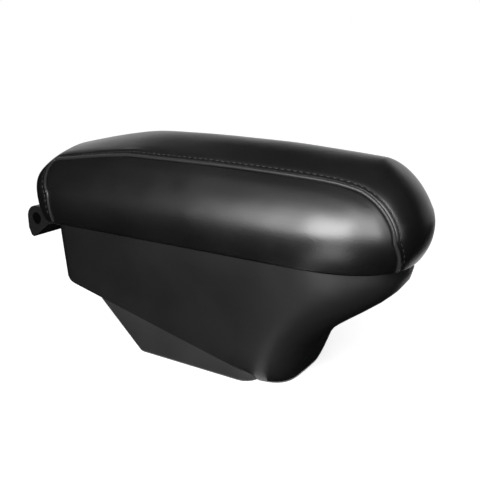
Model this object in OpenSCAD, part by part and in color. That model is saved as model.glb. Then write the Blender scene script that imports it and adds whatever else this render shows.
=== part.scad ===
// Car centre armrest: a flared storage body on a wedge foot, with a hinged, padded lid.
// +X points to the front, +Z up; the origin is on the ground under the middle of the part.

/* [Body] */
// Length of the body's rim, from the rear wall to the front tip
rim_length = 278.5; // [250:0.5:300]
// Width of the body's rim
rim_width = 103.2; // [96:0.2:112]
// Width of the body at the ground
base_width = 88; // [80:0.5:92]
// Height of the body's rim above the ground
body_height = 96.5; // [90:0.5:104]
// How far the body's front end stands behind the rim's tip at the ground
front_rake = 69; // [62:0.5:76]
// Height at which the front flare begins to sweep forwards
flare_start = 56; // [48:1:60]
// Wall of the moulded body
shell_wall = 2.8; // [2:0.1:3.4]
// Floor of the moulded body
shell_floor = 3; // [2.4:0.1:4]
// Length of the rim's rounded front end
rim_nose = 65; // [55:1:75]
// Radius of the body's rear corners
rear_corner = 14; // [10:0.5:18]
// Height of the slanted floor line at the rear wall
floor_rear_height = 49.4; // [44:0.2:54]
// Slope of the slanted floor line, in degrees
floor_slope = 12.8; // [11:0.1:13.5]

/* [Foot] */
// Front end of the foot, ahead of the middle of the part
foot_front = 62; // [54:1:66]
// Rear end of the foot's sole, behind the middle of the part
foot_rear = 39.5; // [34:0.5:46]
// Rake of the foot's rear face, in degrees from upright
foot_rake = 45; // [38:1:50]
// Wall of the foot
foot_wall = 3; // [2.4:0.1:4]
// Radius of the foot's front corners
foot_corner = 13; // [8:0.5:18]
// Distance between the floor fixing holes along the foot
fixing_x = 46; // [40:1:52]
// Distance between the floor fixing holes across the foot
fixing_y = 52; // [44:1:58]
// Radius of a floor fixing hole
fixing_r = 2.1; // [1.8:0.05:2.6]

/* [Bin] */
// Gap between the body's wall and the bin liner
liner_gap = 6.4; // [6:0.1:8]
// Wall of the bin liner
liner_wall = 2; // [1.6:0.1:2.6]
// Thickness of the liner's flange
flange_thick = 2.2; // [1.8:0.1:3]
// Thickness of the felt mat on the bin's floor
mat_thick = 2; // [1.5:0.1:3]
// Radius of the catch magnet
magnet_r = 5; // [4:0.1:5.5]
// Thickness of the catch magnet
magnet_thick = 3; // [2.4:0.1:3.4]

/* [Hinge] */
// Hinge axis behind the body's rear wall
hinge_offset = 37; // [35.5:0.1:40]
// Radius of the hinge barrel
barrel_r = 11; // [10:0.1:11.5]
// Drop of the hinge axis below the lid's hem
hinge_drop = 5; // [4.5:0.1:6]
// Radius of the steel hinge pin
pin_r = 3; // [2.5:0.1:3.5]
// Running clearance around the hinge pin
pin_gap = 0.05; // [0.02:0.01:0.1]
// Width of the hinge barrel, all knuckles together
barrel_width = 72; // [68:1:72]
// Width of one lid knuckle
lid_knuckle = 15; // [12:0.5:18]
// Width of the body's middle knuckle
mid_knuckle = 14; // [10:0.5:18]
// Gap between two knuckles
knuckle_gap = 0.4; // [0.3:0.1:0.8]

/* [Lid] */
// Gap between the body's rim and the lid's hem
lid_gap = 0.5; // [0.5:0.1:1.5]
// Width of the lid at its widest
lid_width = 114; // [108:0.5:120]
// How far the lid's nose stands ahead of the rim
nose_overhang = 16; // [12:0.5:20]
// How far the lid's rear end stands behind the body's rear wall
rear_overhang = 33; // [31:0.5:35]
// Height of the lid's widest line above its hem
belly_height = 25; // [22:0.5:28]
// Height of the lid's crown above its widest line
crown_height = 49; // [42:0.5:54]
// Thickness of the leather cover
leather = 1.2; // [1:0.1:1.6]
// Thickness of the foam over the carrier
foam_thick = 11.6; // [8:0.1:14]
// Wall of the moulded lid carrier
carrier_wall = 2.5; // [2:0.1:3]
// Thickness of the lid's lower panel
panel_thick = 2.6; // [2.2:0.1:3]
// Radius of the welt cord in the seams
welt_r = 1.3; // [1:0.1:1.6]
// Distance of each seam from the middle of the lid
seam_y = 35.8; // [33:0.2:39]

/* [Hidden] */

// Places along the part
part_length = rim_length + nose_overhang + hinge_offset + barrel_r;
rear_wall = hinge_offset + barrel_r - part_length / 2;
rim_tip = rear_wall + rim_length;
base_tip = rim_tip - front_rake;
lid_nose = rim_tip + nose_overhang;
lid_rear = rear_wall - rear_overhang;
hinge_x = rear_wall - hinge_offset;

// Heights
hem = body_height + lid_gap;
belly = hem + belly_height;
hinge_z = hem - hinge_drop;

// Half-widths
rim_half = rim_width / 2;
base_half = base_width / 2;
lid_half = lid_width / 2;
far = 400;
cut = 0.5;

// Blend of four handles by a cubic curve
function bezier(p, t) =
    pow(1 - t, 3) * p[0] + 3 * t * pow(1 - t, 2) * p[1] + 3 * t * t * (1 - t) * p[2] + pow(t, 3) * p[3];
function rounded_power(v, p) = sign(v) * pow(abs(v), p);

// Closed skin through a list of rings that all have as many points
module loft(rings) {
    n = len(rings[0]);
    last = len(rings) - 1;
    points = [for (r = rings) each r];
    sides = [for (j = [0:last - 1], i = [0:n - 1])
        let (a = j * n + i, b = j * n + (i + 1) % n)
        each [[a, a + n, b + n], [a, b + n, b]]];
    first_cap = [[for (i = [0:n - 1]) i]];
    last_cap = [[for (i = [n - 1:-1:0]) last * n + i]];
    polyhedron(points, concat(first_cap, sides, last_cap));
}

// Outline drawn in the side view and carried across the whole width
module side_prism(outline) {
    rotate([90, 0, 0])
        linear_extrude(height = far, center = true)
            polygon(outline);
}

// Side view of the slanted floor line
function floor_line(x) = floor_rear_height - (x - rear_wall) * tan(floor_slope);

// Body outline seen from above: straight sides, a rounded front end and round rear corners
nose_steps = 22;
corner_steps = 5;
function body_outline(tip, half, nose, power, inset, z) = concat(
    [for (i = [0:nose_steps])
        let (a = -90 + 180 * i / nose_steps)
        [tip - nose + (nose - inset) * pow(cos(a), power), (half - inset) * rounded_power(sin(a), power), z]],
    [for (side = [1, -1], i = [0:corner_steps])
        let (a = (side > 0 ? 90 : 180) + 90 * i / corner_steps, r = max(rear_corner - inset, 1))
        [rear_wall + inset + r + r * cos(a), side * (half - inset - r) + r * sin(a), z]]);

// One level of the flared body; t runs from the ground to the rim
function level_z(t) = bezier([0, flare_start, flare_start + 8, body_height], t);
function level_tip(t) = bezier([base_tip, base_tip + 2.5, rim_tip + 11, rim_tip], t);
function level_half(t) = base_half + (rim_half - base_half) * t;
function level_nose(t) = 42 + (rim_nose - 42) * t;
function level_power(t) = 0.48 + 0.4 * t;
// The front lobe is drawn in towards the ground, more at its sides than at its tip
lobe_side = 9;
lobe_tip = 3;
lobe_rise = 15;
function lobe_in(z) = pow(max(0, 1 - z / lobe_rise), 2);
function body_level(t, inset, lift = 0) = let (z = level_z(t))
    body_outline(level_tip(t) - lobe_tip * lobe_in(z), level_half(t) - lobe_side * lobe_in(z),
        level_nose(t), level_power(t), inset, z + lift);
body_levels = 12;
body_ts = concat([0, 0.008, 0.025, 0.05], [for (j = [1:body_levels]) j / body_levels]);

// Flared body form, inset from the outer face and open upwards for cutting
module body_form(inset, over = 0) {
    loft(concat([for (t = body_ts) body_level(t, inset)], over > 0 ? [body_level(1, inset, over)] : []));
}

// Region above the slanted floor and the front lobe's bottom, raised by a floor thickness
lobe_rear = foot_front;
function corner_curve(a, b, c, steps = 6) =
    [for (i = [0:steps]) let (t = i / steps) a * pow(1 - t, 2) + b * 2 * t * (1 - t) + c * t * t];
module above_floor(lift) {
    corner = [rear_wall + lift, floor_line(rear_wall + lift) + lift];
    reach = 16 - lift;
    wall_point = [corner.x, corner.y + reach];
    floor_point = [corner.x + reach, floor_line(corner.x + reach) + lift];
    step = lobe_rear + lift;
    side_prism(concat(
        [[-far, far], [-far, wall_point.y]],
        corner_curve(wall_point, corner, floor_point),
        [[step, floor_line(step) + lift], [step, lift], [far, lift], [far, far]]));
}

// Region above the slanted floor line only, raised by lift and closed at the top
module above_plane(lift, top, reach = 9) {
    corner = [rear_wall + liner_inset, floor_line(rear_wall + liner_inset) + lift];
    wall_point = [corner.x, corner.y + reach];
    floor_point = [corner.x + reach, floor_line(corner.x + reach) + lift];
    front = rim_tip + 20;
    side_prism(concat(
        [[-far, top], [-far, wall_point.y]],
        corner_curve(wall_point, corner, floor_point),
        [[front, floor_line(front) + lift], [front, top]]));
}

// Frame on the slanted floor line at x, with +Z square to it
module on_floor(x, y, lift = 0) {
    translate([x, y, floor_line(x)])
        rotate([0, floor_slope, 0])
            translate([0, 0, lift])
                children();
}

// Moulded housing, open at the top, with a rebate in the rim for the liner's flange
flange_inset = 2.2;
flange_gap = 0.2;
flange_seat = body_height - 1 - flange_thick;
liner_inset = shell_wall + liner_gap;
module rim_prism(inset, low, high) {
    translate([0, 0, low])
        linear_extrude(height = high - low)
            polygon([for (p = body_level(1, inset)) [p.x, p.y]]);
}
boss_r = 3;
boss_length = 15;
boss_in = shell_wall + boss_r - 0.6;
liner_screw_r = 1.4;
liner_screw_places = [
    [rear_wall + boss_in, 18], [rear_wall + boss_in, -18],
    [rear_wall + 53, rim_half - boss_in], [rear_wall + 53, boss_in - rim_half],
    [rear_wall + 143, rim_half - boss_in], [rear_wall + 143, boss_in - rim_half]];
module body_shell() {
    color("#1c1c1d")
        difference() {
            union() {
                difference() {
                    intersection() {
                        body_form(0);
                        above_floor(0);
                    }
                    intersection() {
                        body_form(shell_wall, 2);
                        above_floor(shell_floor);
                    }
                }
                for (p = liner_screw_places)
                    translate([p.x, p.y, flange_seat - boss_length])
                        cylinder(h = boss_length, r = boss_r, $fn = 48);
            }
            for (p = liner_screw_places)
                translate([p.x, p.y, flange_seat - boss_length + 3])
                    cylinder(h = boss_length, r = liner_screw_r, $fn = 48);
            rim_prism(flange_inset, flange_seat, body_height + cut);
            for (p = foot_screw_places)
                on_floor(p.x, p.y, -cut)
                    cylinder(h = shell_floor + 2 * cut, r = foot_screw_r + 0.2, $fn = 48);
            for (y = bracket_screw_ys)
                translate([rear_wall - cut, y, bracket_screw_z])
                    rotate([0, 90, 0])
                        cylinder(h = shell_wall + 2 * cut, r = bracket_screw_r + 0.15, $fn = 48);
        }
}

// Wedge foot: a hollow moulding under the slanted floor, with blind bosses for the floor fixings
foot_screw_r = 1.9;
foot_screw_depth = 7;
foot_screw_places = [[-50, 32], [-50, -32], [foot_front - 20, 29], [foot_front - 20, -29]];
fixing_places = [for (sx = [-0.5, 0.5], sy = [-0.5, 0.5]) [sx * fixing_x - 6, sy * fixing_y]];
fixing_depth = 12;
sole_edge = 1.5;
foot_top = floor_line(rear_wall);
function foot_outline(half, inset, z) =
    [for (q = [[1, -1, -90], [1, 1, 0], [-1, 1, 90], [-1, -1, 180]], i = [0:corner_steps])
        let (r = foot_corner - inset, a = q[2] + 90 * i / corner_steps,
            x = q.x > 0 ? foot_front - foot_corner : rear_wall + foot_corner)
        [x + r * cos(a), q.y * (half - foot_corner) + r * sin(a), z]];
module foot_form(inset) {
    loft([foot_outline(base_half, inset + sole_edge, 0),
        foot_outline(base_half, inset, sole_edge),
        foot_outline(level_half(0.4), inset, foot_top)]);
}
// Side view of the wedge: sole, raked rear face and slanted top
module foot_side_cut(wall, roof) {
    front = foot_front + 1;
    rear = -foot_rear + wall * 1.4;
    rake = tan(foot_rake);
    slope = tan(floor_slope);
    top_x = (rear + rake * (wall - foot_top - roof) - rake * slope * rear_wall) / (1 - rake * slope);
    side_prism([[rear, wall], [front, wall], [front, floor_line(front) + roof], [top_x, floor_line(top_x) + roof]]);
}
module foot_base() {
    color("#262627")
        difference() {
            union() {
                difference() {
                    intersection() {
                        foot_form(0);
                        foot_side_cut(0, 0);
                    }
                    intersection() {
                        foot_form(foot_wall);
                        foot_side_cut(foot_wall, 2);
                    }
                }
                intersection() {
                    union() {
                        for (p = fixing_places)
                            translate([p.x, p.y, 0])
                                cylinder(h = foot_top, r = fixing_r + 3, $fn = 48);
                        for (p = foot_screw_places)
                            on_floor(p.x, p.y, -60)
                                cylinder(h = 60, r = foot_screw_r + 2.6, $fn = 48);
                    }
                    foot_form(1);
                    foot_side_cut(0, 0);
                }
            }
            for (p = fixing_places)
                translate([p.x, p.y, -cut])
                    cylinder(h = fixing_depth + cut, r = fixing_r, $fn = 48);
            for (p = foot_screw_places)
                on_floor(p.x, p.y, -foot_screw_depth)
                    cylinder(h = foot_screw_depth + cut, r = foot_screw_r, $fn = 48);
        }
}

// Pan-head screw with its head's seat at z = 0 and its shank below
module pan_screw(shank_r, length, head_r, head_h) {
    cylinder(h = head_h, r = head_r, $fn = 48);
    translate([0, 0, -length])
        cylinder(h = length, r = shank_r, $fn = 48);
}
foot_head_seat = shell_floor * cos(floor_slope);
module foot_screws() {
    color("#8f9296")
        for (p = foot_screw_places)
            on_floor(p.x, p.y, foot_head_seat)
                pan_screw(foot_screw_r, foot_head_seat + foot_screw_depth - 1, foot_screw_r * 2, 1.6);
}

// Inner tray, hung by its flange in the rim's rebate, with a pad for the magnet at the front
liner_lift = 6.5;
liner_inner = liner_inset + liner_wall;
flange_top = flange_seat + flange_thick;
magnet_x = rim_tip - flange_inset - flange_gap - magnet_r - 3.6;
magnet_pad = magnet_r + 2.4;
stop_r = 3;
stop_stem = 1.5;
stop_in = (flange_inset + flange_gap + liner_inner) / 2;
stop_places = [[rear_wall + 24, rim_half - stop_in], [rear_wall + 24, stop_in - rim_half],
    [rim_tip - rim_nose - 8, rim_half - stop_in], [rim_tip - rim_nose - 8, stop_in - rim_half]];
module bin_liner() {
    color("#2b2b2c")
        difference() {
            union() {
                intersection() {
                    body_form(liner_inset);
                    above_plane(liner_lift, flange_top);
                }
                rim_prism(flange_inset + flange_gap, flange_seat, flange_top);
                translate([magnet_x, 0, flange_top - magnet_thick - 1.5])
                    cylinder(h = magnet_thick + 1.5, r = magnet_pad, $fn = 48);
            }
            difference() {
                intersection() {
                    body_form(liner_inner, 2);
                    above_plane(liner_lift + liner_wall, far / 2, 8);
                }
                translate([magnet_x, 0, 0])
                    cylinder(h = far / 3, r = magnet_pad, $fn = 48);
            }
            translate([magnet_x, 0, flange_top - magnet_thick])
                cylinder(h = magnet_thick + cut, r = magnet_r + 0.02, $fn = 48);
            for (p = liner_screw_places)
                translate([p.x, p.y, flange_seat - cut])
                    cylinder(h = flange_thick + 2 * cut, r = liner_screw_r + 0.2, $fn = 48);
            for (p = stop_places)
                translate([p.x, p.y, flange_seat - cut])
                    cylinder(h = flange_thick + 2 * cut, r = stop_stem, $fn = 48);
        }
}
module liner_screws() {
    color("#8f9296")
        for (p = liner_screw_places)
            translate([p.x, p.y, flange_top])
                pan_screw(liner_screw_r, flange_thick + 9, liner_screw_r * 1.9, 1);
}

// Felt mat on the tray's slanted floor
mat_gap = 0.8;
mat_rear = rear_wall + liner_inner + 12;
mat_front = foot_front + 2;
module bin_mat() {
    low = liner_lift + liner_wall;
    color("#3a3a3c")
        intersection() {
            body_form(liner_inner + mat_gap);
            side_prism([[mat_rear, floor_line(mat_rear) + low], [mat_front, floor_line(mat_front) + low],
                [mat_front, floor_line(mat_front) + low + mat_thick],
                [mat_rear, floor_line(mat_rear) + low + mat_thick]]);
        }
}

// Catch magnet and rubber stops on the flange
module catch_magnet() {
    color("#a9abae")
        translate([magnet_x, 0, flange_top - magnet_thick])
            cylinder(h = magnet_thick, r = magnet_r, $fn = 48);
}
stop_gap = 0.3;
module bump_stops() {
    color("#101010")
        for (p = stop_places)
            translate([p.x, p.y, 0]) {
                translate([0, 0, flange_top])
                    cylinder(h = hem - stop_gap - flange_top, r = stop_r, $fn = 48);
                translate([0, 0, flange_seat])
                    cylinder(h = flange_thick + 0.1, r = stop_stem, $fn = 48);
            }
}

// Hinge: knuckles in turn along the barrel
bracket_plate = 6;
bracket_low = 76;
bracket_screw_r = 1.7;
bracket_screw_z = bracket_low + 6;
bracket_screw_ys = [-28, -10, 10, 28];
bracket_screw_in = 4.5;
barrel_end = barrel_width / 2;
lid_knuckle_in = mid_knuckle / 2 + knuckle_gap;
lid_knuckle_out = lid_knuckle_in + lid_knuckle;
fixed_knuckle_in = lid_knuckle_out + knuckle_gap;
arm_top = body_height - 0.7;
arm_low = arm_top - 5.8;
barrel_gap = 0.5;
head_recess = 2;
head_r = pin_r + 2;
module along_hinge(from, to, r, fn = 72) {
    translate([hinge_x, from, hinge_z])
        rotate([-90, 0, 0])
            cylinder(h = to - from, r = r, $fn = fn);
}
// Side view of the bracket: plate on the rear wall, arm, and the drip tail under the barrel
module bracket_side(from, to) {
    translate([0, to, 0])
        rotate([90, 0, 0])
            linear_extrude(height = to - from)
                polygon(concat(
                    [[rear_wall, bracket_low], [rear_wall, arm_top]],
                    [[hinge_x, arm_top], [hinge_x, hinge_z], [hinge_x - barrel_r, hinge_z],
                        [hinge_x - barrel_r + 0.2, hinge_z - 9.5], [hinge_x - 8, hinge_z - 15.8],
                        [hinge_x - 5.2, hinge_z - 17], [hinge_x - 2.6, hinge_z - 15.6],
                        [hinge_x + 7.5, hinge_z - 8.4], [hinge_x + 14, arm_low - 1.4],
                        [hinge_x + 22, arm_low], [rear_wall - bracket_plate, arm_low],
                        [rear_wall - bracket_plate, bracket_low]]));
}
module hinge_bracket() {
    color("#1c1c1d")
        difference() {
            union() {
                bracket_side(-barrel_end, barrel_end);
                along_hinge(-barrel_end, barrel_end, barrel_r);
            }
            for (s = [-1, 1])
                translate([0, s * (lid_knuckle_in + lid_knuckle / 2), 0]) {
                    slot = lid_knuckle / 2 + knuckle_gap;
                    along_hinge(-slot, slot, barrel_r + barrel_gap);
                    translate([hinge_x, -slot, arm_low - 3])
                        cube([rear_wall - bracket_plate - hinge_x, 2 * slot, far / 4]);
                }
            along_hinge(-barrel_end - cut, barrel_end + cut, pin_r + pin_gap);
            for (s = [-1, 1])
                along_hinge(s * barrel_end - head_recess, s * barrel_end + head_recess, head_r + 0.2);
            for (y = bracket_screw_ys)
                translate([rear_wall - bracket_screw_in, y, bracket_screw_z])
                    rotate([0, 90, 0])
                        cylinder(h = bracket_screw_in + cut, r = bracket_screw_r, $fn = 48);
        }
}
module bracket_screws() {
    color("#8f9296")
        for (y = bracket_screw_ys)
            translate([rear_wall + shell_wall, y, bracket_screw_z])
                rotate([0, 90, 0])
                    pan_screw(bracket_screw_r, shell_wall + bracket_screw_in - 0.8, bracket_screw_r * 1.9, 1.6);
}
// Headed pin and the push-on retainer in the far recess
module hinge_pin() {
    color("#b4b6b9") {
        along_hinge(-barrel_end + head_recess, barrel_end - 0.4, pin_r);
        along_hinge(-barrel_end + 0.4, -barrel_end + head_recess, head_r);
    }
}
module pin_retainer() {
    color("#8f9296")
        difference() {
            along_hinge(barrel_end - head_recess, barrel_end - head_recess + 1, head_r);
            along_hinge(barrel_end - head_recess - cut, barrel_end, pin_r + 0.02);
        }
}
// Bushes in the lid's knuckles
bush_r = pin_r + 2;
module hinge_bushes() {
    color("#d9d4c4")
        for (s = [-1, 1]) {
            a = s > 0 ? lid_knuckle_in : -lid_knuckle_out;
            difference() {
                along_hinge(a, a + lid_knuckle, bush_r);
                along_hinge(a - cut, a + lid_knuckle + cut, pin_r + pin_gap);
            }
        }
}

// Lid form: plan outline with rounded ends, rolled in below the widest line, domed above it
nose_length = rim_nose + 3;
tail_length = 36;
plan_power = 0.84;
nose_roll = 13;
side_roll = 4.5;
tail_roll = 11;
spine_front = lid_nose - 34;
spine_rear = lid_rear + 26;
front_steps = 16;
rear_steps = 10;
long_steps = 3;
function roll(z) = pow(max(0, (belly - z) / belly_height), 2.6);
function lid_tip(z, d) = lid_nose - nose_roll * roll(z) - d;
function lid_end(z, d) = lid_rear + tail_roll * roll(z) + d;
function lid_side(z, d) = lid_half - side_roll * roll(z) - d;
function lid_outline(z, d) = let (tip = lid_tip(z, d), end = lid_end(z, d), half = lid_side(z, d),
        front = lid_nose - nose_length, rear = lid_rear + tail_length)
    concat(
        [for (i = [0:front_steps]) let (a = -90 + 180 * i / front_steps)
            [front + (tip - front) * pow(cos(a), plan_power), half * rounded_power(sin(a), plan_power), z]],
        [for (i = [1:long_steps - 1]) [front + (rear - front) * i / long_steps, half, z]],
        [for (i = [0:rear_steps]) let (a = 90 - 180 * i / rear_steps)
            [rear - (rear - end) * pow(cos(a), plan_power), half * rounded_power(sin(a), plan_power), z]],
        [for (i = [1:long_steps - 1]) [rear + (front - rear) * i / long_steps, -half, z]]);
// Height of the crown above the widest line, lower towards both ends
function crown(x) = crown_height
    - 6 * pow(max(0, (x - 20) / 115), 1.6)
    - 10 * pow(max(0, (-50 - x) / 70), 1.25);
dome_a = 1.45;
dome_b = 0.55;
function dome_k(t) = pow(1 - pow(t, dome_a), dome_b);
function dome_t(k) = k >= 1 ? 0 : pow(1 - pow(k, 1 / dome_b), 1 / dome_a);
function dome_ring(t, d) = let (k = dome_k(t))
    [for (p = lid_outline(belly, d))
        let (s = min(max(p.x, spine_rear), spine_front), x = s + (p.x - s) * k)
        [x, p.y * k, belly + (crown(x) - d) * t]];
dome_steps = 9;
dome_ts = [for (j = [1:dome_steps]) dome_t(cos(90 * (j == dome_steps ? j - 0.35 : j) / dome_steps))];
roll_steps = 4;
function lid_rings(d, low) = concat(
    low < panel_top ? [lid_outline(low, d)] : [],
    [for (j = [0:roll_steps]) lid_outline(panel_top + (belly - panel_top) * sin(90 * j / roll_steps), d)],
    [for (t = dome_ts) dome_ring(t, d)]);
// Faces of a lid form's sides and of its ridge, for n points a ring and m rings from the given start
function side_faces(n, m, start, flip) = [for (j = [0:m - 2], i = [0:n - 1])
    let (a = start + j * n + i, b = start + j * n + (i + 1) % n, f = [[a, a + n, b + n], [a, b + n, b]])
    each [for (t = f) flip ? [t[2], t[1], t[0]] : t]];
// Ridge closed by strips from one side to the other
function ridge_faces(n, start, flip) = let (g = front_steps / 2)
    [for (i = [0:n / 2 - 1])
        let (a = (g - i + n) % n, b = (g - i - 1 + n) % n, c = (g + i) % n, e = (g + i + 1) % n,
            f = i == 0 ? [[a, b, e]] : i == n / 2 - 1 ? [[a, b, c]] : [[a, b, c], [c, b, e]])
        each [for (t = f) flip ? [start + t[2], start + t[1], start + t[0]] : [start + t[0], start + t[1], start + t[2]]]];
module lid_shell(outer, inner, low) {
    a = lid_rings(outer, low);
    b = lid_rings(inner, low);
    n = len(a[0]);
    m = len(a);
    second = n * m;
    rim = [for (i = [0:n - 1]) let (j = (i + 1) % n) each [[i, j, second + j], [i, second + j, second + i]]];
    polyhedron([for (r = concat(a, b)) each r],
        concat(side_faces(n, m, 0, false), ridge_faces(n, n * (m - 1), false),
            side_faces(n, m, second, true), ridge_faces(n, second + n * (m - 1), true), rim));
}

// Lower trim panel of the lid with its hinge arms
panel_top = hem + panel_thick;
panel_gap = 0.1;
lid_arm_end = 30;
lid_arm_drop = 5.7;
lid_screw_r = 1.5;
lid_boss_r = 4;
carrier_in = leather + foam_thick;
lid_boss_y = lid_half - side_roll - carrier_in - carrier_wall - 2;
lid_screw_places = [
    [rear_wall + 33, lid_boss_y], [rear_wall + 33, -lid_boss_y],
    [rear_wall + 123, lid_boss_y], [rear_wall + 123, -lid_boss_y],
    [lid_nose - nose_length - 3, lid_boss_y], [lid_nose - nose_length - 3, -lid_boss_y]];
striker_size = [20, 16, 1];
module lid_panel() {
    color("#222223")
        difference() {
            union() {
                translate([0, 0, hem])
                    linear_extrude(height = panel_thick)
                        polygon([for (p = lid_outline(hem, leather + panel_gap)) [p.x, p.y]]);
                for (s = [-1, 1]) {
                    a = s > 0 ? lid_knuckle_in : -lid_knuckle_out;
                    along_hinge(a, a + lid_knuckle, barrel_r);
                    translate([hinge_x, a, hem - lid_arm_drop])
                        cube([lid_arm_end, lid_knuckle, lid_arm_drop]);
                    translate([lid_end(hem, leather) + 1, a, hem - 1])
                        cube([hinge_x + lid_arm_end - lid_end(hem, leather) - 1, lid_knuckle, 1 + panel_thick / 2]);
                }
            }
            for (s = [-1, 1]) {
                a = s > 0 ? lid_knuckle_in : -lid_knuckle_out;
                along_hinge(a - cut, a + lid_knuckle + cut, bush_r + 0.02);
            }
            for (p = lid_screw_places)
                translate([p.x, p.y, hem - cut]) {
                    cylinder(h = panel_thick + 2 * cut, r = lid_screw_r + 0.2, $fn = 48);
                    cylinder(h = cut + 1.3, r = lid_screw_r * 2 + 0.3, $fn = 48);
                }
            translate([magnet_x - striker_size.x / 2, -striker_size.y / 2, hem - cut])
                cube([striker_size.x, striker_size.y, striker_size.z + cut]);
        }
}
module striker_plate() {
    color("#b4b6b9")
        translate([magnet_x - striker_size.x / 2, -striker_size.y / 2, hem])
            cube(striker_size);
}
lid_screw_depth = 9;
module lid_screws() {
    color("#8f9296")
        for (p = lid_screw_places)
            translate([p.x, p.y, hem + 1.3])
                rotate([180, 0, 0])
                    pan_screw(lid_screw_r, panel_thick - 1.3 + lid_screw_depth - 1, lid_screw_r * 2, 1.1);
}

// Moulded carrier under the foam
module lid_carrier() {
    color("#2b2b2c")
        difference() {
            union() {
                lid_shell(carrier_in, carrier_in + carrier_wall, panel_top);
                for (p = lid_screw_places)
                    translate([p.x, p.y, panel_top])
                        cylinder(h = lid_screw_depth + 2, r = lid_boss_r, $fn = 48);
            }
            for (p = lid_screw_places)
                translate([p.x, p.y, panel_top - cut])
                    cylinder(h = lid_screw_depth + cut, r = lid_screw_r, $fn = 48);
        }
}
module foam_pad() {
    color("#c9b98a")
        lid_shell(leather, carrier_in, panel_top);
}

// Leather cover, cut into a top panel and two side panels along the seams
seam_t = dome_t(seam_y / lid_half);
welt_gap = welt_r + 0.1;
module cover_slice(from, to) {
    intersection() {
        lid_shell(0, leather, hem);
        translate([-far, from, 0])
            cube([2 * far, to - from, far]);
    }
}
module top_cover() {
    color("#232324")
        cover_slice(-seam_y + welt_gap, seam_y - welt_gap);
}
module side_cover_near() {
    color("#202021")
        cover_slice(-far, -seam_y - welt_gap);
}
module side_cover_far() {
    color("#202021")
        cover_slice(seam_y + welt_gap, far);
}

// Seam line in the side view: from the hem over the nose, back along the top and down the rear end
function seam_sin(z) = pow(seam_y / lid_side(z, 0), 1 / plan_power);
function seam_cos(z) = pow(sqrt(1 - pow(seam_sin(z), 2)), plan_power);
seam_angle = asin(pow(seam_y / lid_half, 1 / plan_power));
function end_point(base, tip, spine, a) = let (k = seam_y / (lid_half * pow(sin(a), plan_power)),
        t = dome_t(k), x = base + (tip - base) * pow(cos(a), plan_power),
        s = (tip - spine) * (x - spine) > 0 ? spine : x, px = s + (x - s) * k)
    [px, belly + crown(px) * t];
seam_front = lid_nose - nose_length;
seam_rear = lid_rear + tail_length;
seam_line = concat(
    [for (i = [0:4]) let (z = hem + (belly - hem) * i / 5)
        [seam_front + (lid_tip(z, 0) - seam_front) * seam_cos(z), z]],
    [for (i = [0:9]) end_point(seam_front, lid_nose, spine_front, seam_angle + (90 - seam_angle) * i / 9)],
    [for (i = [1:9]) let (x = seam_front + (seam_rear - seam_front) * i / 10) [x, belly + crown(x) * seam_t]],
    [for (i = [8:-1:0]) end_point(seam_rear, lid_rear, spine_rear, seam_angle + (90 - seam_angle) * i / 8)],
    [for (i = [4:-1:0]) let (z = hem + (belly - hem) * i / 5)
        [seam_rear - (seam_rear - lid_end(z, 0)) * seam_cos(z), z]]);
welt_sides = 8;
welt_rise = 0.75;
module welt(y) {
    n = len(seam_line);
    loft([for (i = [0:n - 1])
        let (a = seam_line[max(i - 1, 0)], b = seam_line[min(i + 1, n - 1)],
            u = (b - a) / norm(b - a), v = [u.y, -u.x], c = seam_line[i] + v * welt_rise)
        [for (j = [0:welt_sides - 1]) let (w = 360 * (j + 0.5) / welt_sides)
            [c.x + v.x * welt_r * cos(w), y + welt_r * sin(w), max(c.y + v.y * welt_r * cos(w), hem)]]]);
}
module welt_near() {
    color("#1b1b1c")
        welt(-seam_y);
}
module welt_far() {
    color("#1b1b1c")
        welt(seam_y);
}

body_shell();
foot_base();
foot_screws();
bin_liner();
bin_mat();
liner_screws();
hinge_bracket();
bracket_screws();
hinge_pin();
pin_retainer();
bump_stops();
catch_magnet();
lid_panel();
lid_carrier();
foam_pad();
top_cover();
side_cover_near();
side_cover_far();
welt_near();
welt_far();
striker_plate();
lid_screws();
hinge_bushes();
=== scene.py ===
import math

import bmesh
import bpy
from mathutils import Matrix, Vector, noise
from mathutils.bvhtree import BVHTree
from mathutils.kdtree import KDTree


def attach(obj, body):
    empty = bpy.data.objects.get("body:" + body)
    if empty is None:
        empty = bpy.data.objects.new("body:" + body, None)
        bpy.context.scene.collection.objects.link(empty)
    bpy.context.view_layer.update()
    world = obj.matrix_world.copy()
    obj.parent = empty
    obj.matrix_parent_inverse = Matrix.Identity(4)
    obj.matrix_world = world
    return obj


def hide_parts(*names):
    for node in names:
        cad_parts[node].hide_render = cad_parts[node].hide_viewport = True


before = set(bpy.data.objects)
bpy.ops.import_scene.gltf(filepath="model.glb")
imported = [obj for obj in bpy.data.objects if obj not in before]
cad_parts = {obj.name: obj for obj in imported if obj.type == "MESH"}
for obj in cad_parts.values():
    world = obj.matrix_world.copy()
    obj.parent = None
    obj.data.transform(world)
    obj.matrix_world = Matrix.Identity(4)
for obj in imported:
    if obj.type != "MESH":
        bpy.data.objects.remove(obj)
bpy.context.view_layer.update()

# Body shell: the flared storage body with its rounded front, one injection moulding in black
# plastic with a fine satin grain. It stands on the foot and carries everything else.


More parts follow.
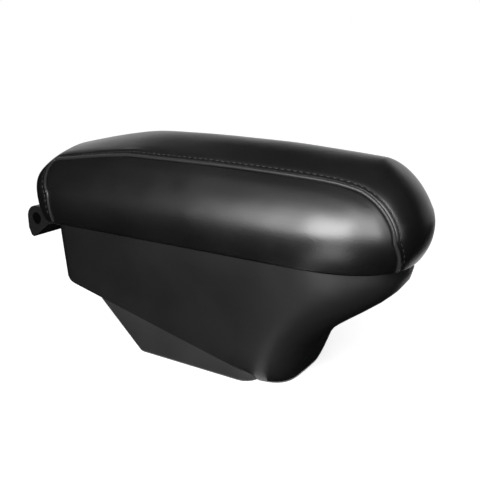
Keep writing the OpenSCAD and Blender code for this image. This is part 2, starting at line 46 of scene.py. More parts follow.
def grain_group(name, kind):
    """Node group that turns Object coordinates into a grain: a normal, a tone and a gloss mask."""
    group = bpy.data.node_groups.new(name, "ShaderNodeTree")
    face = group.interface
    face.new_socket("Vector", in_out="INPUT", socket_type="NodeSocketVector")
    size = face.new_socket("Grain per metre", in_out="INPUT", socket_type="NodeSocketFloat")
    size.default_value = 900.0
    depth = face.new_socket("Depth", in_out="INPUT", socket_type="NodeSocketFloat")
    depth.default_value = 0.0002
    face.new_socket("Normal", in_out="OUTPUT", socket_type="NodeSocketVector")
    face.new_socket("Tone", in_out="OUTPUT", socket_type="NodeSocketFloat")
    face.new_socket("Gloss", in_out="OUTPUT", socket_type="NodeSocketFloat")
    nodes, links = group.nodes, group.links
    start, end = nodes.new("NodeGroupInput"), nodes.new("NodeGroupOutput")
    if kind == "leather":
        cells = nodes.new("ShaderNodeTexVoronoi")
        cells.feature = "SMOOTH_F1"
        cells.inputs["Smoothness"].default_value = 0.6
        grain_out = cells.outputs["Distance"]
    elif kind == "brushed":
        stretch = nodes.new("ShaderNodeMapping")
        stretch.inputs["Scale"].default_value = (1.0, 0.06, 1.0)
        links.new(start.outputs["Vector"], stretch.inputs["Vector"])
        cells = nodes.new("ShaderNodeTexNoise")
        cells.inputs["Detail"].default_value = 3.0
        links.new(stretch.outputs["Vector"], cells.inputs["Vector"])
        grain_out = cells.outputs["Fac"]
    else:
        cells = nodes.new("ShaderNodeTexNoise")
        cells.inputs["Detail"].default_value = 4.0
        cells.inputs["Roughness"].default_value = 0.6
        grain_out = cells.outputs["Fac"]
    if kind != "brushed":
        links.new(start.outputs["Vector"], cells.inputs["Vector"])
    links.new(start.outputs["Grain per metre"], cells.inputs["Scale"])
    bump = nodes.new("ShaderNodeBump")
    bump.inputs["Strength"].default_value = 1.0
    links.new(start.outputs["Depth"], bump.inputs["Distance"])
    links.new(grain_out, bump.inputs["Height"])
    links.new(bump.outputs["Normal"], end.inputs["Normal"])
    broad = nodes.new("ShaderNodeTexNoise")
    broad.inputs["Scale"].default_value = 22.0
    broad.inputs["Detail"].default_value = 5.0
    links.new(start.outputs["Vector"], broad.inputs["Vector"])
    mixed = nodes.new("ShaderNodeMath")
    mixed.operation = "MULTIPLY_ADD"
    mixed.inputs[1].default_value = 0.5
    half = nodes.new("ShaderNodeMath")
    half.operation = "MULTIPLY"
    half.inputs[1].default_value = 0.5
    links.new(broad.outputs["Fac"], half.inputs[0])
    links.new(grain_out, mixed.inputs[0])
    links.new(half.outputs[0], mixed.inputs[2])
    links.new(mixed.outputs[0], end.inputs["Tone"])
    links.new(broad.outputs["Fac"], end.inputs["Gloss"])
    return group


moulded_grain = grain_group("moulded grain", "moulded")


def finish_material(name, group, deep, pale, rough, grain, depth, specular=0.5, metallic=0.0):
    """Principled finish whose colour, gloss and normal follow a grain group over the surface."""
    material = bpy.data.materials.new(name)
    material.use_nodes = True
    nodes, links = material.node_tree.nodes, material.node_tree.links
    shader = nodes["Principled BSDF"]
    shader.inputs["Metallic"].default_value = metallic
    shader.inputs["Specular IOR Level"].default_value = specular
    place = nodes.new("ShaderNodeTexCoord")
    texture = nodes.new("ShaderNodeGroup")
    texture.node_tree = group
    texture.inputs["Grain per metre"].default_value = grain
    texture.inputs["Depth"].default_value = depth
    links.new(place.outputs["Object"], texture.inputs["Vector"])
    tint = nodes.new("ShaderNodeMix")
    tint.data_type = "RGBA"
    tint.inputs["A"].default_value = (*deep, 1.0)
    tint.inputs["B"].default_value = (*pale, 1.0)
    links.new(texture.outputs["Tone"], tint.inputs["Factor"])
    links.new(tint.outputs["Result"], shader.inputs["Base Color"])
    gloss = nodes.new("ShaderNodeMapRange")
    gloss.inputs["From Min"].default_value = 0.3
    gloss.inputs["From Max"].default_value = 0.7
    gloss.inputs["To Min"].default_value = rough[0]
    gloss.inputs["To Max"].default_value = rough[1]
    links.new(texture.outputs["Gloss"], gloss.inputs["Value"])
    links.new(gloss.outputs["Result"], shader.inputs["Roughness"])
    links.new(texture.outputs["Normal"], shader.inputs["Normal"])
    return material


SHARP_EDGE = math.radians(38.0)


def smooth_moulding(node, name, body):
    """Smooth-shaded copy of a faceted CAD moulding, in the same form, that stands for it."""
    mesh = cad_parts[node].data.copy()
    mesh.materials.clear()
    piece = bpy.data.objects.new(name, mesh)
    bpy.context.scene.collection.objects.link(piece)
    form = bmesh.new()
    form.from_mesh(mesh)
    bmesh.ops.remove_doubles(form, verts=form.verts, dist=2e-5)
    bmesh.ops.dissolve_degenerate(form, edges=form.edges, dist=5e-6)
    for edge in form.edges:
        edge.smooth = len(edge.link_faces) == 2 and edge.calc_face_angle(math.pi) < SHARP_EDGE
    for face in form.faces:
        face.smooth = True
    form.to_mesh(mesh)
    form.free()
    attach(piece, body)
    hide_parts(node)
    return piece


black_moulding = finish_material("satin black moulding", moulded_grain, (0.003, 0.003, 0.0032),
                                 (0.008, 0.008, 0.0083), (0.40, 0.47), 1400.0, 0.00003, specular=0.40)
shell = smooth_moulding("body_shell", "shell_moulding", "base")
shell.data.materials.append(black_moulding)

# Foot: the wedge under the slanted floor that is screwed to the car's console from below. It is
# moulded in a slightly greyer plastic, and four screws from inside the body hold the body on it.
grey_moulding = finish_material("dark grey moulding", moulded_grain, (0.006, 0.006, 0.0063),
                                (0.016, 0.016, 0.0165), (0.50, 0.60), 1400.0, 0.00005, specular=0.50)
foot = smooth_moulding("foot_base", "foot_moulding", "base")
foot.data.materials.append(grey_moulding)
brushed_grain = grain_group("brushed grain", "brushed")
zinc = finish_material("zinc plated steel", brushed_grain, (0.42, 0.43, 0.44), (0.62, 0.63, 0.64),
                       (0.30, 0.42), 3000.0, 0.00003, metallic=1.0)


def finish_node(node, finish):
    """Gives a CAD node that stays in view its material."""
    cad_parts[node].data.materials.clear()
    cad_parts[node].data.materials.append(finish)


finish_node("foot_screws", zinc)

# Tray: a second moulding that hangs by its flange in the rim's rebate, held down by six small
# screws. A needle felt mat lies on its slanted floor and keeps stowed things quiet.
tray_black = finish_material("grained tray black", moulded_grain, (0.014, 0.014, 0.0145),
                             (0.032, 0.032, 0.033), (0.50, 0.60), 1100.0, 0.00014, specular=0.35)
tray = smooth_moulding("bin_liner", "tray_moulding", "base")
tray.data.materials.append(tray_black)
fibre_grain = grain_group("fibre grain", "moulded")
felt = finish_material("needle felt", fibre_grain, (0.022, 0.022, 0.024), (0.085, 0.085, 0.09),
                       (0.90, 0.98), 2600.0, 0.0006, specular=0.1)
mat = smooth_moulding("bin_mat", "felt_mat", "base")
mat.data.materials.append(felt)
finish_node("liner_screws", zinc)

# Hinge bracket: the rear lip behind the body and its knuckles in one moulding, held by four screws
# from inside. A headed steel pin with a push-on retainer runs through it and the lid's two arms.
for node, finish in (("hinge_bracket", black_moulding), ("bracket_screws", zinc), ("pin_retainer", zinc)):
    finish_node(node, finish)
blacked_steel = finish_material("blacked steel", brushed_grain, (0.020, 0.020, 0.021), (0.050, 0.050, 0.052),
                                (0.30, 0.40), 5000.0, 0.00002, metallic=1.0)
finish_node("hinge_pin", blacked_steel)
acetal = finish_material("natural acetal", moulded_grain, (0.66, 0.62, 0.52), (0.78, 0.75, 0.66),
                         (0.30, 0.40), 900.0, 0.00004)
finish_node("hinge_bushes", acetal)

# Stops and catch: soft rubber studs pressed in the flange take the lid's weight, and a nickel
# plated magnet in the flange's front pad holds the steel striker in the lid.
rubber = finish_material("stop rubber", moulded_grain, (0.010, 0.010, 0.010), (0.028, 0.028, 0.028),
                         (0.70, 0.80), 2000.0, 0.00008, specular=0.3)
ground_steel = finish_material("ground steel", brushed_grain, (0.50, 0.50, 0.51), (0.68, 0.68, 0.69),
                               (0.18, 0.28), 5000.0, 0.00002, metallic=1.0)
nickel = finish_material("nickel plate", brushed_grain, (0.52, 0.51, 0.49), (0.66, 0.65, 0.63),
                         (0.14, 0.22), 6000.0, 0.00001, metallic=1.0)
for node, finish in (("bump_stops", rubber), ("catch_magnet", nickel), ("striker_plate", ground_steel)):
    finish_node(node, finish)

# Lid inside: the lower trim panel with its hinge arms, the moulded carrier and the foam glued
# on it. Six screws hold the panel to the carrier, and the cover's hem is pinched between them.
finish_node("lid_panel", tray_black)
finish_node("lid_carrier", tray_black)
finish_node("lid_screws", zinc)
foam_cells = finish_material("open cell foam", fibre_grain, (0.50, 0.43, 0.24), (0.74, 0.68, 0.46),
                             (0.90, 0.98), 1500.0, 0.0005, specular=0.1)
foam = smooth_moulding("foam_pad", "foam_filling", "lid")
foam.data.materials.append(foam_cells)

# Leather cover: three cut panels of black leather cloth, a top that wraps over the nose and the
# rear end and two sides, sewn together and drawn tight over the foam. Sizes here are in mm.
HEM, BELLY, HALF = 97.0, 122.0, 57.0
PANEL_TOP = HEM + 2.6
NOSE_X, REAR_X = 167.75, -156.25
FRONT_BASE, REAR_BASE = NOSE_X - 68.0, REAR_X + 36.0
SPINE_FRONT, SPINE_REAR = NOSE_X - 34.0, REAR_X + 26.0
END_ROUND, FLANK_ROUND, CROWN_ROUND = 0.84, 0.55, 1.45
NOSE_TUCK, REAR_TUCK, SIDE_TUCK = 7.5, 7.8, 4.5
TUCK_POWER, REAR_TUCK_POWER = 2.6, 4
REAR_RISE, RISE_LENGTH = 12.5, 44.25
DOME, NOSE_FALL, REAR_FALL = 49.0, 6.0, 12.5
NOSE_FALL_FROM, NOSE_FALL_LENGTH, NOSE_FALL_POWER = NOSE_X - 147.75, 115.0, 1.6
REAR_FALL_FROM, REAR_FALL_LENGTH, REAR_FALL_POWER = REAR_X + 106.25, 70.0, 1.25
END_SHARE, LOW_SHARE = 0.36, 0.2
SIDE_SHARE = 0.5 - END_SHARE
SEAM_Y, SEAM_LEAN, SEAM_TURN = 35.8, 0.5, BELLY - 3
SHOULDER_TURN, SHOULDER_BEND = 36.0, 0.6
LEATHER, WELT_R = 1.2, 1.25


def tuck(z, power=TUCK_POWER):
    """Share of the full tuck that the skin has under its widest line, at height z."""
    return max(0.0, (BELLY - z) / (BELLY - HEM)) ** power


def rise(x):
    """How far the widest line climbs towards the rear end."""
    return REAR_RISE * max(0.0, (REAR_X + RISE_LENGTH - x) / RISE_LENGTH) ** 2


def crown(x):
    """Height of the crown over the widest line, which falls towards both ends."""
    nose_fall = NOSE_FALL * max(0.0, (x - NOSE_FALL_FROM) / NOSE_FALL_LENGTH) ** NOSE_FALL_POWER
    return DOME - nose_fall - REAR_FALL * max(0.0, (REAR_FALL_FROM - x) / REAR_FALL_LENGTH) ** REAR_FALL_POWER


def swung(base, tip, half, a):
    """Plan point of a rounded end; a is 90 degrees where the end meets the straight sides."""
    s = math.sin(a)
    x = base + (tip - base) * max(0.0, math.cos(a)) ** END_ROUND
    return x, half * math.copysign(abs(s) ** END_ROUND, s)


def plan_point(u, z):
    """Point of the lid's plan outline at height z; u runs once round, from the front of the near side."""
    tip = NOSE_X - NOSE_TUCK * tuck(z)
    end = REAR_X + REAR_TUCK * tuck(z, REAR_TUCK_POWER)
    half = HALF - SIDE_TUCK * tuck(z)
    if u < END_SHARE:
        return swung(FRONT_BASE, tip, half, math.radians(-90 + 180 * u / END_SHARE))
    if u < 0.5:
        return FRONT_BASE + (REAR_BASE - FRONT_BASE) * (u - END_SHARE) / SIDE_SHARE, half
    if u < 0.5 + END_SHARE:
        return swung(REAR_BASE, end, half, math.radians(90 - 180 * (u - 0.5) / END_SHARE))
    return REAR_BASE + (FRONT_BASE - REAR_BASE) * (u - 0.5 - END_SHARE) / SIDE_SHARE, -half


def dome_point(x, y, k):
    """Point of the dome above the widest line's point (x, y), at a share k of its half-width."""
    s = min(max(x, SPINE_REAR), SPINE_FRONT)
    x = s + (x - s) * k
    t = 0.0 if k >= 1 else (1 - k ** (1 / FLANK_ROUND)) ** (1 / CROWN_ROUND)
    return Vector((x, y * k, BELLY + rise(x) + (crown(x) - rise(x)) * t))


def skin_point(u, v):
    """Point of the skin; v runs from the hem over the widest line to the crown."""
    if v < LOW_SHARE:
        z = HEM + (BELLY - HEM) * math.sin(math.pi / 2 * v / LOW_SHARE)
        x, y = plan_point(u, z)
        return Vector((x, y, z + rise(x) * max(0.0, (z - PANEL_TOP) / (BELLY - PANEL_TOP))))
    x, y = plan_point(u, BELLY)
    return dome_point(x, y, math.cos(math.pi / 2 * (v - LOW_SHARE) / (1 - LOW_SHARE)) if v < 1 else 0.0)


def seam_reach(z):
    """Distance of a seam from the middle at height z; it leans in under the widest line."""
    return SEAM_Y - SEAM_LEAN * max(0.0, SEAM_TURN - z)


def shoulder_point(k):
    """Point of the seam's run over the rear shoulder, at a share k of the half-width."""
    x, y = swung(REAR_BASE, REAR_X, HALF, math.radians(SHOULDER_TURN * (1 - k) ** SHOULDER_BEND - 90))
    return dome_point(x, y, k)


def end_run(base, tip, count):
    """Seam over one end of the dome, from the widest line inwards, at the same distance from the middle."""
    first = math.asin((SEAM_Y / HALF) ** (1 / END_ROUND))
    for i in range(count + 1):
        x, y = swung(base, tip, HALF, -first - (math.pi / 2 - first) * i / count)
        yield dome_point(x, y, min(1.0, -SEAM_Y / y))


def evenly(points, step):
    """The same path with its points a step apart."""
    path, spare = [points[0]], step
    for p, q in zip(points, points[1:]):
        length, along = (q - p).length, 0.0
        while length - along >= spare:
            along += spare
            path.append(p.lerp(q, along / length))
            spare = step
        spare -= length - along
    return path


LOW_STEPS, NOSE_STEPS, TOP_STEPS, REAR_STEPS, SHOULDER_STEPS, SEAM_STEP = 16, 60, 50, 30, 24, 0.8
seam = []
for i in range(LOW_STEPS):
    z = HEM + (BELLY - HEM) * i / LOW_STEPS
    tip, half = NOSE_X - NOSE_TUCK * tuck(z), HALF - SIDE_TUCK * tuck(z)
    turn = -math.asin((seam_reach(z) / half) ** (1 / END_ROUND))
    seam.append(Vector((*swung(FRONT_BASE, tip, half, turn), z)))
seam += list(end_run(FRONT_BASE, NOSE_X, NOSE_STEPS))
for i in range(1, TOP_STEPS):
    seam.append(dome_point(FRONT_BASE + (REAR_BASE - FRONT_BASE) * i / TOP_STEPS, -HALF, SEAM_Y / HALF))
corner_k = 1.05 * SEAM_Y / HALF
corner_x = shoulder_point(corner_k).x
seam += [p for p in reversed(list(end_run(REAR_BASE, REAR_X, REAR_STEPS))) if p.x > corner_x + 0.5]
shoulder = [shoulder_point(corner_k + (1 - corner_k) * i / SHOULDER_STEPS) for i in range(SHOULDER_STEPS + 1)]
seam += shoulder
for i in range(1, LOW_STEPS + 1):
    z = BELLY - (BELLY - HEM) * i / LOW_STEPS
    seam.append(Vector((REAR_BASE, -HALF + SIDE_TUCK * tuck(z), z)))
near_seam = evenly(seam, SEAM_STEP)
far_seam = [Vector((p.x, -p.y, p.z)) for p in near_seam]


def on_side_panel(p):
    """Whether a point of the skin, in mm, lies on a side panel: -1 near, 1 far, 0 on the top panel."""
    if abs(p.y) < seam_reach(p.z) or p.x < shoulder[0].x:
        return 0
    ahead = p.x > REAR_BASE
    for a, b in zip(shoulder, shoulder[1:]):
        if p.z > shoulder[-1].z and b.y <= -abs(p.y) <= a.y:
            ahead = p.x > a.x + (b.x - a.x) * (-abs(p.y) - a.y) / (b.y - a.y)
    return (1 if p.y > 0 else -1) if ahead else 0


RIBS, ROWS, RIB_POINTS, ROUNDING = 250, 70, 160, 8


def rib(u):
    """One rib of the skin from the hem to the crown, evenly spaced and rounded over the widest line."""
    raw = [skin_point(u, i / RIB_POINTS) for i in range(RIB_POINTS + 1)]
    length = sum((q - p).length for p, q in zip(raw, raw[1:]))
    line = evenly(raw, length / (2 * ROWS + 0.01))[:2 * ROWS] + [raw[-1]]
    for _ in range(2):
        reach = [min(ROUNDING, i, 2 * ROWS - i) for i in range(2 * ROWS + 1)]
        line = [sum(line[i - r:i + r + 1], Vector()) / (2 * r + 1) for i, r in enumerate(reach)]
    return line[::2]


skin = bmesh.new()
bmesh.ops.create_grid(skin, x_segments=RIBS, y_segments=ROWS, size=1.0)
ribs = [rib(i / RIBS) for i in range(RIBS)]
for vert in skin.verts:
    vert.co = ribs[round((vert.co.x + 1) / 2 * RIBS) % RIBS][round((vert.co.y + 1) / 2 * ROWS)]
bmesh.ops.remove_doubles(skin, verts=skin.verts, dist=2e-3)
bmesh.ops.dissolve_degenerate(skin, edges=skin.edges, dist=1e-3)
CROWN_PASSES = 24
for _ in range(CROWN_PASSES):
    ridge = [v for v in skin.verts if v.co.z > BELLY + 8 and abs(v.co.y) < SEAM_Y - 6]
    bmesh.ops.smooth_vert(skin, verts=ridge, factor=0.5, use_axis_x=True, use_axis_y=True, use_axis_z=True)


def slit(place, normal, near_enough):
    """Adds a cut line across the faces that lie near enough to a seam."""
    faces = [f for f in skin.faces if near_enough(f.calc_center_median())]
    edges = {e for f in faces for e in f.edges}
    verts = {v for f in faces for v in f.verts}
    bmesh.ops.bisect_plane(skin, geom=list(verts) + list(edges) + faces, dist=1e-4,
                           plane_co=place, plane_no=normal)


NOSE_CUT_FROM, FLANK_CUT_FROM, SHOULDER_CUT_TO = 100, 30, -105
for side in (-1, 1):
    slit((0, side * SEAM_Y, 0), (0, 1, 0), lambda c: c.z > BELLY - 4 and c.x > shoulder[0].x - 4)
    slit((0, side * SEAM_Y, SEAM_TURN), (0, side, SEAM_LEAN),
         lambda c: c.z < BELLY - 2 and c.x > NOSE_CUT_FROM)
    slit((REAR_BASE, 0, 0), (1, 0, 0), lambda c: c.z < BELLY + 2 and c.y * side > FLANK_CUT_FROM)
    for a, b in zip(shoulder[::2], shoulder[2::2]):
        slit((a.x, -side * a.y, 0), (b.y - a.y, side * (b.x - a.x), 0),
             lambda c: b.y - 2 < -c.y * side < a.y + 2 and c.x < SHOULDER_CUT_TO)
FINE_REACH = 7.5
close = []
for edge in skin.edges:
    corner = edge.verts[0].co
    path = near_seam if corner.y < 0 else far_seam
    if edge.calc_length() > 0.5 and min((corner - q).length for q in path[::4]) < FINE_REACH:
        close.append(edge)
bmesh.ops.subdivide_edges(skin, edges=close, cuts=2, use_grid_fill=True)
skin.normal_update()
middle = Vector((0.0, 0.0, 120.0))
if sum((f.calc_center_median() - middle).dot(f.normal) for f in skin.faces) < 0:
    bmesh.ops.reverse_faces(skin, faces=skin.faces)
skin.normal_update()

leather_grain = grain_group("leather grain", "leather")
black_leather = finish_material("black leather cloth", leather_grain, (0.0008, 0.0008, 0.0009),
                                (0.0030, 0.0030, 0.0032), (0.31, 0.37), 1500.0, 0.00006, specular=0.85)
skin_tree = BVHTree.FromBMesh(skin)
near_seam = [skin_tree.find_nearest(p)[0] for p in near_seam]
far_seam = [skin_tree.find_nearest(p)[0] for p in far_seam]
seam_tree = KDTree(len(near_seam) + len(far_seam))
for i, p in enumerate(near_seam + far_seam):
    seam_tree.insert(p, i)
seam_tree.balance()
SEAM_DIP, STITCH_DIP, STITCH_DIP_WIDTH, ROW = 0.95, 0.22, 0.9, 4.0
BROAD_SWELL, FINE_SWELL, SEAM_SWELL, SEAM_SWELL_AT, SEAM_SWELL_WIDTH = 0.5, 0.12, 0.25, 9.0, 5.0
BROAD_WAVES, FINE_WAVES = 0.022, 0.07
HEM_WIDTH, HEM_TURN = 4.5, 1.4


def cover_panel(name, node, which):
    """Takes one panel out of the skin, turns its edges down into the seams and its hem in under the foam."""
    form = skin.copy()
    rest = [f for f in form.faces if on_side_panel(f.calc_center_median()) != which]
    bmesh.ops.delete(form, geom=rest, context="FACES")
    for vert in form.verts:
        _, _, gap = seam_tree.find(vert.co)
        sink = SEAM_DIP * math.exp(-(gap / WELT_R) ** 2)
        if which == 0:
            sink += STITCH_DIP * math.exp(-((gap - ROW) / STITCH_DIP_WIDTH) ** 2)
        swell = BROAD_SWELL * noise.noise(vert.co * BROAD_WAVES)
        swell += FINE_SWELL * noise.noise(vert.co * FINE_WAVES)
        swell += SEAM_SWELL * math.exp(-((gap - SEAM_SWELL_AT) / SEAM_SWELL_WIDTH) ** 2)
        above_hem = min(1.0, max(0.0, (vert.co.z - HEM) / 12))
        vert.co += vert.normal * (swell * above_hem - sink)
        vert.co.z = max(vert.co.z, HEM)
    hem = [e for e in form.edges if e.is_boundary and max(v.co.z for v in e.verts) < HEM + 0.05]
    turned = bmesh.ops.extrude_edge_only(form, edges=hem)["geom"]
    for vert in (g for g in turned if isinstance(g, bmesh.types.BMVert)):
        spine = Vector((min(max(vert.co.x, SPINE_REAR), SPINE_FRONT), 0.0, HEM))
        vert.co += (spine - vert.co).normalized() * HEM_WIDTH
        vert.co.z = HEM + HEM_TURN
    bmesh.ops.scale(form, vec=(0.001, 0.001, 0.001), verts=form.verts)
    for face in form.faces:
        face.smooth = True
    mesh = bpy.data.meshes.new(name)
    form.to_mesh(mesh)
    form.free()
    panel = bpy.data.objects.new(name, mesh)
    bpy.context.scene.collection.objects.link(panel)
    wall = panel.modifiers.new("leather thickness", "SOLIDIFY")
    wall.thickness = LEATHER * 0.001
    wall.offset = -1.0
    panel.data.materials.append(black_leather)
    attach(panel, "lid")
    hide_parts(node)
    return panel


top_panel = cover_panel("top_leather", "top_cover", 0)
cover_panel("near_side_leather", "side_cover_near", -1)
cover_panel("far_side_leather", "side_cover_far", 1)

# Foam fitting: the foam is a little full, and the tight cover presses it in until it lies just
# under the leather. Its lower edge ends above the turned hem.
FOAM_UNDER, FOAM_LIFT = LEATHER + 0.8, 4.0
for vert in foam.data.vertices:
    hit, normal, _, _ = skin_tree.find_nearest(vert.co * 1000)
    over = (vert.co * 1000 - hit).dot(normal) + FOAM_UNDER
    if over > 0:
        vert.co -= normal * over * 0.001
    vert.co.z = max(vert.co.z, (HEM + FOAM_LIFT) * 0.001)

# Welts: the folded lips of leather cloth that stand up in both seams and catch the light. Their colour,
# lighter than the panels' leather of the same cloth, is a painted highlight. They are sewn in with the
# panels, and run over the nose, along the top and down the rear shoulder.
# Painted highlight: the lips' leather is coloured several times lighter than the same leather on the panels.
lit_lip_leather = finish_material("folded lip leather with painted highlight", leather_grain, (0.008, 0.008, 0.0083),
                              (0.022, 0.022, 0.023), (0.30, 0.38), 1500.0, 0.00008, specular=0.35)
WELT_EASE, WELT_STAND = 3, 0.15
for path, name, node in ((near_seam, "near_welt", "welt_near"), (far_seam, "far_welt", "welt_far")):
    line = bpy.data.curves.new(name + "_line", "CURVE")
    line.dimensions = "3D"
    line.bevel_depth = WELT_R * 0.001
    line.bevel_resolution = 3
    line.use_fill_caps = True
    spline = line.splines.new("POLY")
    spline.points.add(len(path) - 1)
    for i in range(len(path)):
        span = path[max(0, i - WELT_EASE):i + WELT_EASE + 1]
        p, normal, _, _ = skin_tree.find_nearest(sum(span, Vector()) / len(span))
        q = (p + normal * WELT_STAND) * 0.001
        q.z = max(q.z, (HEM + WELT_R) * 0.001)
        spline.points[i].co = (*q, 1.0)
    drawn = bpy.data.objects.new(name + "_curve", line)
    bpy.context.scene.collection.objects.link(drawn)
    mesh = bpy.data.meshes.new_from_object(drawn.evaluated_get(bpy.context.evaluated_depsgraph_get()))
    bpy.data.objects.remove(drawn)
    mesh.name = name
    for face in mesh.polygons:
        face.use_smooth = True
    welt = bpy.data.objects.new(name, mesh)
    bpy.context.scene.collection.objects.link(welt)
    welt.data.materials.clear()
    welt.data.materials.append(lit_lip_leather)
    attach(welt, "lid")
    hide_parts(node)

# Top stitching: one row of waxed black thread on the top panel beside each seam. Each stitch
# dips into the leather at both ends.
PITCH, STITCH, THREAD_WIDTH, THREAD_HEIGHT, THREAD_STAND = 4.7, 3.4, 0.84, 0.76, 0.12
ROW_SLACK, ROW_SPAN, HEM_CLEAR = 0.3, 12, 3
thread = finish_material("waxed thread", fibre_grain, (0.007, 0.007, 0.0073), (0.018, 0.018, 0.0185),
                         (0.42, 0.52), 6000.0, 0.00006, specular=0.3)
top_form = bmesh.new()
top_form.from_mesh(top_panel.data)
top_tree = BVHTree.FromBMesh(top_form)
for path, name in ((near_seam, "near_stitching"), (far_seam, "far_stitching")):
    row_line = []
    for i in range(1, len(path) - 1):
        along = (path[i + 1] - path[i - 1]).normalized()
        _, normal, _, _ = skin_tree.find_nearest(path[i])
        inward = normal.cross(along)
        step = path[i] + inward * ROW
        if on_side_panel(step):
            step = path[i] - inward * ROW
        if min((step - q).length for q in path[max(0, i - ROW_SPAN):i + ROW_SPAN + 1]) < ROW - ROW_SLACK:
            continue
        hit, _, _, _ = top_tree.find_nearest(step * 0.001)
        row_line.append(hit * 1000)
    row_line = evenly(row_line, PITCH)
    form = bmesh.new()
    for p, q in zip(row_line, row_line[1:]):
        if (q - p).length > PITCH * 1.5 or min(p.z, q.z) < HEM + HEM_CLEAR:
            continue
        centre = (p + q) / 2 * 0.001
        hit, normal, _, _ = top_tree.find_nearest(centre)
        along = (q - p).normalized()
        across = normal.cross(along).normalized()
        turn = Matrix((along, across, along.cross(across))).transposed().to_4x4()
        grow = Matrix.Diagonal((STITCH * 0.0005, THREAD_WIDTH * 0.0005, THREAD_HEIGHT * 0.0005, 1.0))
        lie = Matrix.Translation(hit + normal * THREAD_STAND * 0.001)
        bmesh.ops.create_uvsphere(form, u_segments=8, v_segments=6, radius=1.0, matrix=lie @ turn @ grow)
    bmesh.ops.recalc_face_normals(form, faces=form.faces)
    for face in form.faces:
        face.smooth = True
    mesh = bpy.data.meshes.new(name)
    form.to_mesh(mesh)
    form.free()
    row = bpy.data.objects.new(name, mesh)
    bpy.context.scene.collection.objects.link(row)
    row.data.materials.append(thread)
    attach(row, "lid")
top_form.free()
skin.free()

# Floor: a pale studio floor that keeps the object's soft shadow. Lamps light it as matt paper, and
# in plain view it adds the paleness of the photograph's background.


def in_plain_view(nodes, links):
    """Light Path mask that is 1 for what the camera, mirrors and clear parts see, and 0 for lighting."""
    rays = nodes.new("ShaderNodeLightPath")
    either = rays.outputs["Is Camera Ray"]
    for ray in ("Is Glossy Ray", "Is Transmission Ray"):
        most = nodes.new("ShaderNodeMath")
        most.operation = "MAXIMUM"
        links.new(either, most.inputs[0])
        links.new(rays.outputs[ray], most.inputs[1])
        either = most.outputs[0]
    return either


floor_form = bmesh.new()
bmesh.ops.create_grid(floor_form, x_segments=1, y_segments=1, size=6.0)
floor_mesh = bpy.data.meshes.new("floor")
floor_form.to_mesh(floor_mesh)
floor_form.free()
floor = bpy.data.objects.new("floor", floor_mesh)
bpy.context.scene.collection.objects.link(floor)
floor_paint = bpy.data.materials.new("pale floor")
floor_paint.use_nodes = True
nodes, links = floor_paint.node_tree.nodes, floor_paint.node_tree.links
nodes.remove(nodes["Principled BSDF"])
matt = nodes.new("ShaderNodeBsdfDiffuse")
matt.inputs["Color"].default_value = (0.5, 0.5, 0.5, 1)
lit = nodes.new("ShaderNodeEmission")
seen = nodes.new("ShaderNodeMath")
seen.operation = "MULTIPLY"
seen.inputs[1].default_value = 0.66
links.new(in_plain_view(nodes, links), seen.inputs[0])
links.new(seen.outputs[0], lit.inputs["Strength"])
both = nodes.new("ShaderNodeAddShader")
links.new(matt.outputs["BSDF"], both.inputs[0])
links.new(lit.outputs["Emission"], both.inputs[1])
links.new(both.outputs["Shader"], nodes["Material Output"].inputs["Surface"])
floor.data.materials.append(floor_paint)

# Light: a large softbox in front of the near side, a small one off the nose, a broad overhead light
# and a pale surround. The softboxes themselves don't show in the picture.
world = bpy.data.worlds.new("surround")
bpy.context.scene.world = world
world.use_nodes = True
nodes, links = world.node_tree.nodes, world.node_tree.links
glow = nodes["Background"]
glow.inputs["Color"].default_value = (1, 1, 1, 1)
level = nodes.new("ShaderNodeMapRange")
level.inputs["To Min"].default_value = 0.5
level.inputs["To Max"].default_value = 1.0
links.new(in_plain_view(nodes, links), level.inputs["Value"])
links.new(level.outputs["Result"], glow.inputs["Strength"])


def softbox(name, place, aim, width, height, power):
    """Rectangular soft lamp at a place, turned to its aim."""
    lamp = bpy.data.lights.new(name, "AREA")
    lamp.shape = "RECTANGLE"
    lamp.size, lamp.size_y = width, height
    lamp.energy = power
    box = bpy.data.objects.new(name, lamp)
    bpy.context.scene.collection.objects.link(box)
    box.location = place
    box.rotation_euler = (Vector(aim) - Vector(place)).to_track_quat("-Z", "Y").to_euler()
    box.visible_camera = False


softbox("front softbox", (0.10, -0.50, 0.31), (0.12, -0.054, 0.12), 0.44, 0.42, 6.0)
softbox("right softbox", (0.42, -0.30, 0.30), (0.14, -0.03, 0.12), 0.24, 0.34, 1.2)
overhead = bpy.data.lights.new("overhead", "SUN")
overhead.energy = 0.6
overhead.angle = math.radians(60)
above = bpy.data.objects.new("overhead", overhead)
bpy.context.scene.collection.objects.link(above)
above.rotation_euler = (math.radians(12), math.radians(-10), 0)

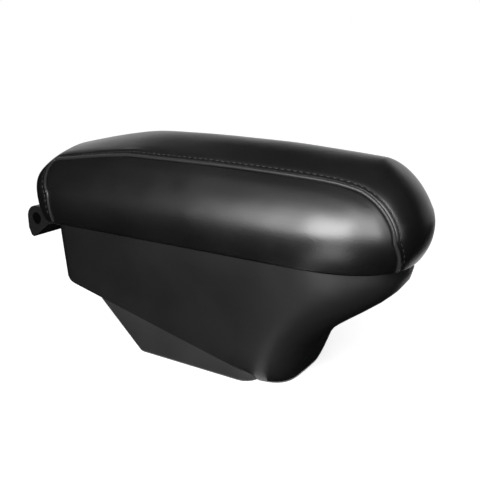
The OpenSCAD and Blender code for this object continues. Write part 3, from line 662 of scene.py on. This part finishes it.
# Flags: black cloth cards that only reflections see, as a studio sets them round a glossy black
# thing. They keep the pale surround out of the leather's sides, but not out of the body's front.
flag_cloth = bpy.data.materials.new("black flag cloth")
flag_cloth.use_nodes = True
cloth = flag_cloth.node_tree.nodes["Principled BSDF"]
cloth.inputs["Base Color"].default_value = (0.002, 0.002, 0.002, 1)
cloth.inputs["Specular IOR Level"].default_value = 0.0
FLAGS = (("left flag", (-0.43, -0.085, 0.42), (-0.09, 0.127, 0.42), 0.86, 0.84),
         ("top flag", (-0.03, -0.015, 0.56), (-0.03, -0.015, 0.0), 0.90, 1.23),
         ("right flag", (0.38, 0.26, 0.30), (0.0, 0.20, 0.30), 0.56, 0.60),
         ("left floor flag", (-0.34, -0.30, 0.002), (-0.34, -0.30, 1.0), 0.80, 1.20),
         ("middle floor flag", (0.13, -0.02, 0.002), (0.13, -0.02, 1.0), 0.12, 0.30),
         ("right floor flag", (0.54, 0.0, 0.002), (0.54, 0.0, 1.0), 0.70, 1.60))
for name, place, aim, width, height in FLAGS:
    form = bmesh.new()
    bmesh.ops.create_grid(form, x_segments=1, y_segments=1, size=0.5)
    bmesh.ops.scale(form, vec=(width, height, 1.0), verts=form.verts)
    mesh = bpy.data.meshes.new(name)
    form.to_mesh(mesh)
    form.free()
    mesh.materials.append(flag_cloth)
    card = bpy.data.objects.new(name, mesh)
    bpy.context.scene.collection.objects.link(card)
    card.location = place
    card.rotation_euler = (Vector(aim) - Vector(place)).to_track_quat("-Z", "Y").to_euler()
    card.visible_camera = False
    card.visible_diffuse = False
    card.visible_shadow = False
    card.visible_transmission = False

# Camera: at the photograph's angle and distance, which were found by fitting a pinhole camera to
# the body's rim, the near seam, the foot's lower edges and the nose.
FOCAL_POINTS, FRAME_POINTS = 668.0, 480.0
eye = Vector((0.2859, -0.4128, 0.2322))
turn, drop = math.radians(32.4), math.radians(16.0)
look = Vector((-math.sin(turn) * math.cos(drop), math.cos(turn) * math.cos(drop), -math.sin(drop)))
lens = bpy.data.cameras.new("camera")
lens.sensor_width = 36.0
lens.lens = FOCAL_POINTS * lens.sensor_width / FRAME_POINTS
lens.clip_start = 0.01
camera = bpy.data.objects.new("camera", lens)
bpy.context.scene.collection.objects.link(camera)
camera.location = eye
camera.rotation_euler = look.to_track_quat("-Z", "Y").to_euler()
bpy.context.scene.camera = camera
bpy.context.scene.view_settings.view_transform = "Standard"

bpy.context.view_layer.update()
